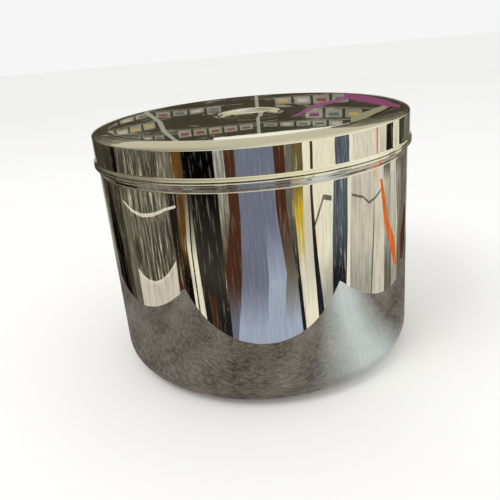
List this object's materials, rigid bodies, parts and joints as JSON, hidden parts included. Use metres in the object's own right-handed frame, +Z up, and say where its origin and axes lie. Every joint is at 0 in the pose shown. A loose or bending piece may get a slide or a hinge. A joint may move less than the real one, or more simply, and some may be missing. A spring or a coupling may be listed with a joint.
{
  "type": "spice box",
  "caption": "Round polished steel spice box in two tiers: spice cups in the box and in a drop-in tray, dished inner lid with a ring pull, loose spoons and a lift-off outer lid.",
  "frame": {"origin": "centre of the base, on the plane the box stands on", "axes": "+Z up along the box's axis, towards the lid; +Y from the ring pull's hinge towards its free side; +X along the hinge"},
  "size_m": [0.201, 0.201, 0.1554],
  "materials": {
    "box_steel": "mirror-polished stainless steel, slightly warm",
    "lid_steel": "mirror-polished stainless steel, slightly warm",
    "tray_steel": "satin stainless steel, circular brushing",
    "cover_steel": "satin stainless steel, circular brushing",
    "cup_steel": "bright stainless steel, satin inside",
    "spoon_steel": "polished stainless steel",
    "wire_steel": "bright drawn wire",
    "strap_steel": "plain pressed strip",
    "rivet_steel": "dull set rivet"
  },
  "bodies": {
    "box": {"box_body": "box_steel"},
    "tray": {"drop_in_tray": "tray_steel"},
    "cover": {"inner_lid": "cover_steel", "ring_strap": "strap_steel", "strap_rivet_front": "rivet_steel", "strap_rivet_rear": "rivet_steel"},
    "lid": {"outer_lid": "lid_steel"},
    "ring": {"ring_pull": "wire_steel"},
    "spoon_front": {"front_spoon": "spoon_steel"},
    "spoon_rear": {"rear_spoon": "spoon_steel"},
    "lower_cup_centre": {"lower_cup_centre": "cup_steel"},
    "lower_cup_1": {"lower_cup_1": "cup_steel"},
    "lower_cup_2": {"lower_cup_2": "cup_steel"},
    "lower_cup_3": {"lower_cup_3": "cup_steel"},
    "lower_cup_4": {"lower_cup_4": "cup_steel"},
    "lower_cup_5": {"lower_cup_5": "cup_steel"},
    "lower_cup_6": {"lower_cup_6": "cup_steel"},
    "upper_cup_centre": {"upper_cup_centre": "cup_steel"},
    "upper_cup_1": {"upper_cup_1": "cup_steel"},
    "upper_cup_2": {"upper_cup_2": "cup_steel"},
    "upper_cup_3": {"upper_cup_3": "cup_steel"},
    "upper_cup_4": {"upper_cup_4": "cup_steel"},
    "upper_cup_5": {"upper_cup_5": "cup_steel"},
    "upper_cup_6": {"upper_cup_6": "cup_steel"}
  },
  "joints": [
    {"name": "outer_lid_lift", "type": "slide", "parent": "cover", "child": "lid", "axis": [0, 0, 1], "range_m": [0, 0.06]},
    {"name": "inner_lid_lift", "type": "slide", "parent": "tray", "child": "cover", "axis": [0, 0, 1], "range_m": [0, 0.05]},
    {"name": "drop_in_tray_lift", "type": "slide", "parent": "box", "child": "tray", "axis": [0, 0, 1], "range_m": [0, 0.1]},
    {"name": "ring_pull_swing", "type": "hinge", "parent": "cover", "child": "ring", "pos_m": [0, 0, 0.1286], "axis": [1, 0, 0], "range_deg": [0, 180]},
    {"name": "spoon_front_lift", "type": "slide", "parent": "cover", "child": "spoon_front", "axis": [0, 0, 1], "range_m": [0, 0.015]},
    {"name": "spoon_rear_lift", "type": "slide", "parent": "cover", "child": "spoon_rear", "axis": [0, 0, 1], "range_m": [0, 0.015]},
    {"name": "upper_cup_centre_lift", "type": "slide", "parent": "tray", "child": "upper_cup_centre", "axis": [0, 0, 1], "range_m": [0, 0.011]},
    {"name": "upper_cup_1_lift", "type": "slide", "parent": "tray", "child": "upper_cup_1", "axis": [0, 0, 1], "range_m": [0, 0.011]},
    {"name": "upper_cup_2_lift", "type": "slide", "parent": "tray", "child": "upper_cup_2", "axis": [0, 0, 1], "range_m": [0, 0.011]},
    {"name": "upper_cup_3_lift", "type": "slide", "parent": "tray", "child": "upper_cup_3", "axis": [0, 0, 1], "range_m": [0, 0.011]},
    {"name": "upper_cup_4_lift", "type": "slide", "parent": "tray", "child": "upper_cup_4", "axis": [0, 0, 1], "range_m": [0, 0.011]},
    {"name": "upper_cup_5_lift", "type": "slide", "parent": "tray", "child": "upper_cup_5", "axis": [0, 0, 1], "range_m": [0, 0.011]},
    {"name": "upper_cup_6_lift", "type": "slide", "parent": "tray", "child": "upper_cup_6", "axis": [0, 0, 1], "range_m": [0, 0.011]},
    {"name": "lower_cup_centre_lift", "type": "slide", "parent": "box", "child": "lower_cup_centre", "axis": [0, 0, 1], "range_m": [0, 0.01]},
    {"name": "lower_cup_1_lift", "type": "slide", "parent": "box", "child": "lower_cup_1", "axis": [0, 0, 1], "range_m": [0, 0.01]},
    {"name": "lower_cup_2_lift", "type": "slide", "parent": "box", "child": "lower_cup_2", "axis": [0, 0, 1], "range_m": [0, 0.01]},
    {"name": "lower_cup_3_lift", "type": "slide", "parent": "box", "child": "lower_cup_3", "axis": [0, 0, 1], "range_m": [0, 0.01]},
    {"name": "lower_cup_4_lift", "type": "slide", "parent": "box", "child": "lower_cup_4", "axis": [0, 0, 1], "range_m": [0, 0.01]},
    {"name": "lower_cup_5_lift", "type": "slide", "parent": "box", "child": "lower_cup_5", "axis": [0, 0, 1], "range_m": [0, 0.01]},
    {"name": "lower_cup_6_lift", "type": "slide", "parent": "box", "child": "lower_cup_6", "axis": [0, 0, 1], "range_m": [0, 0.01]}
  ]
}
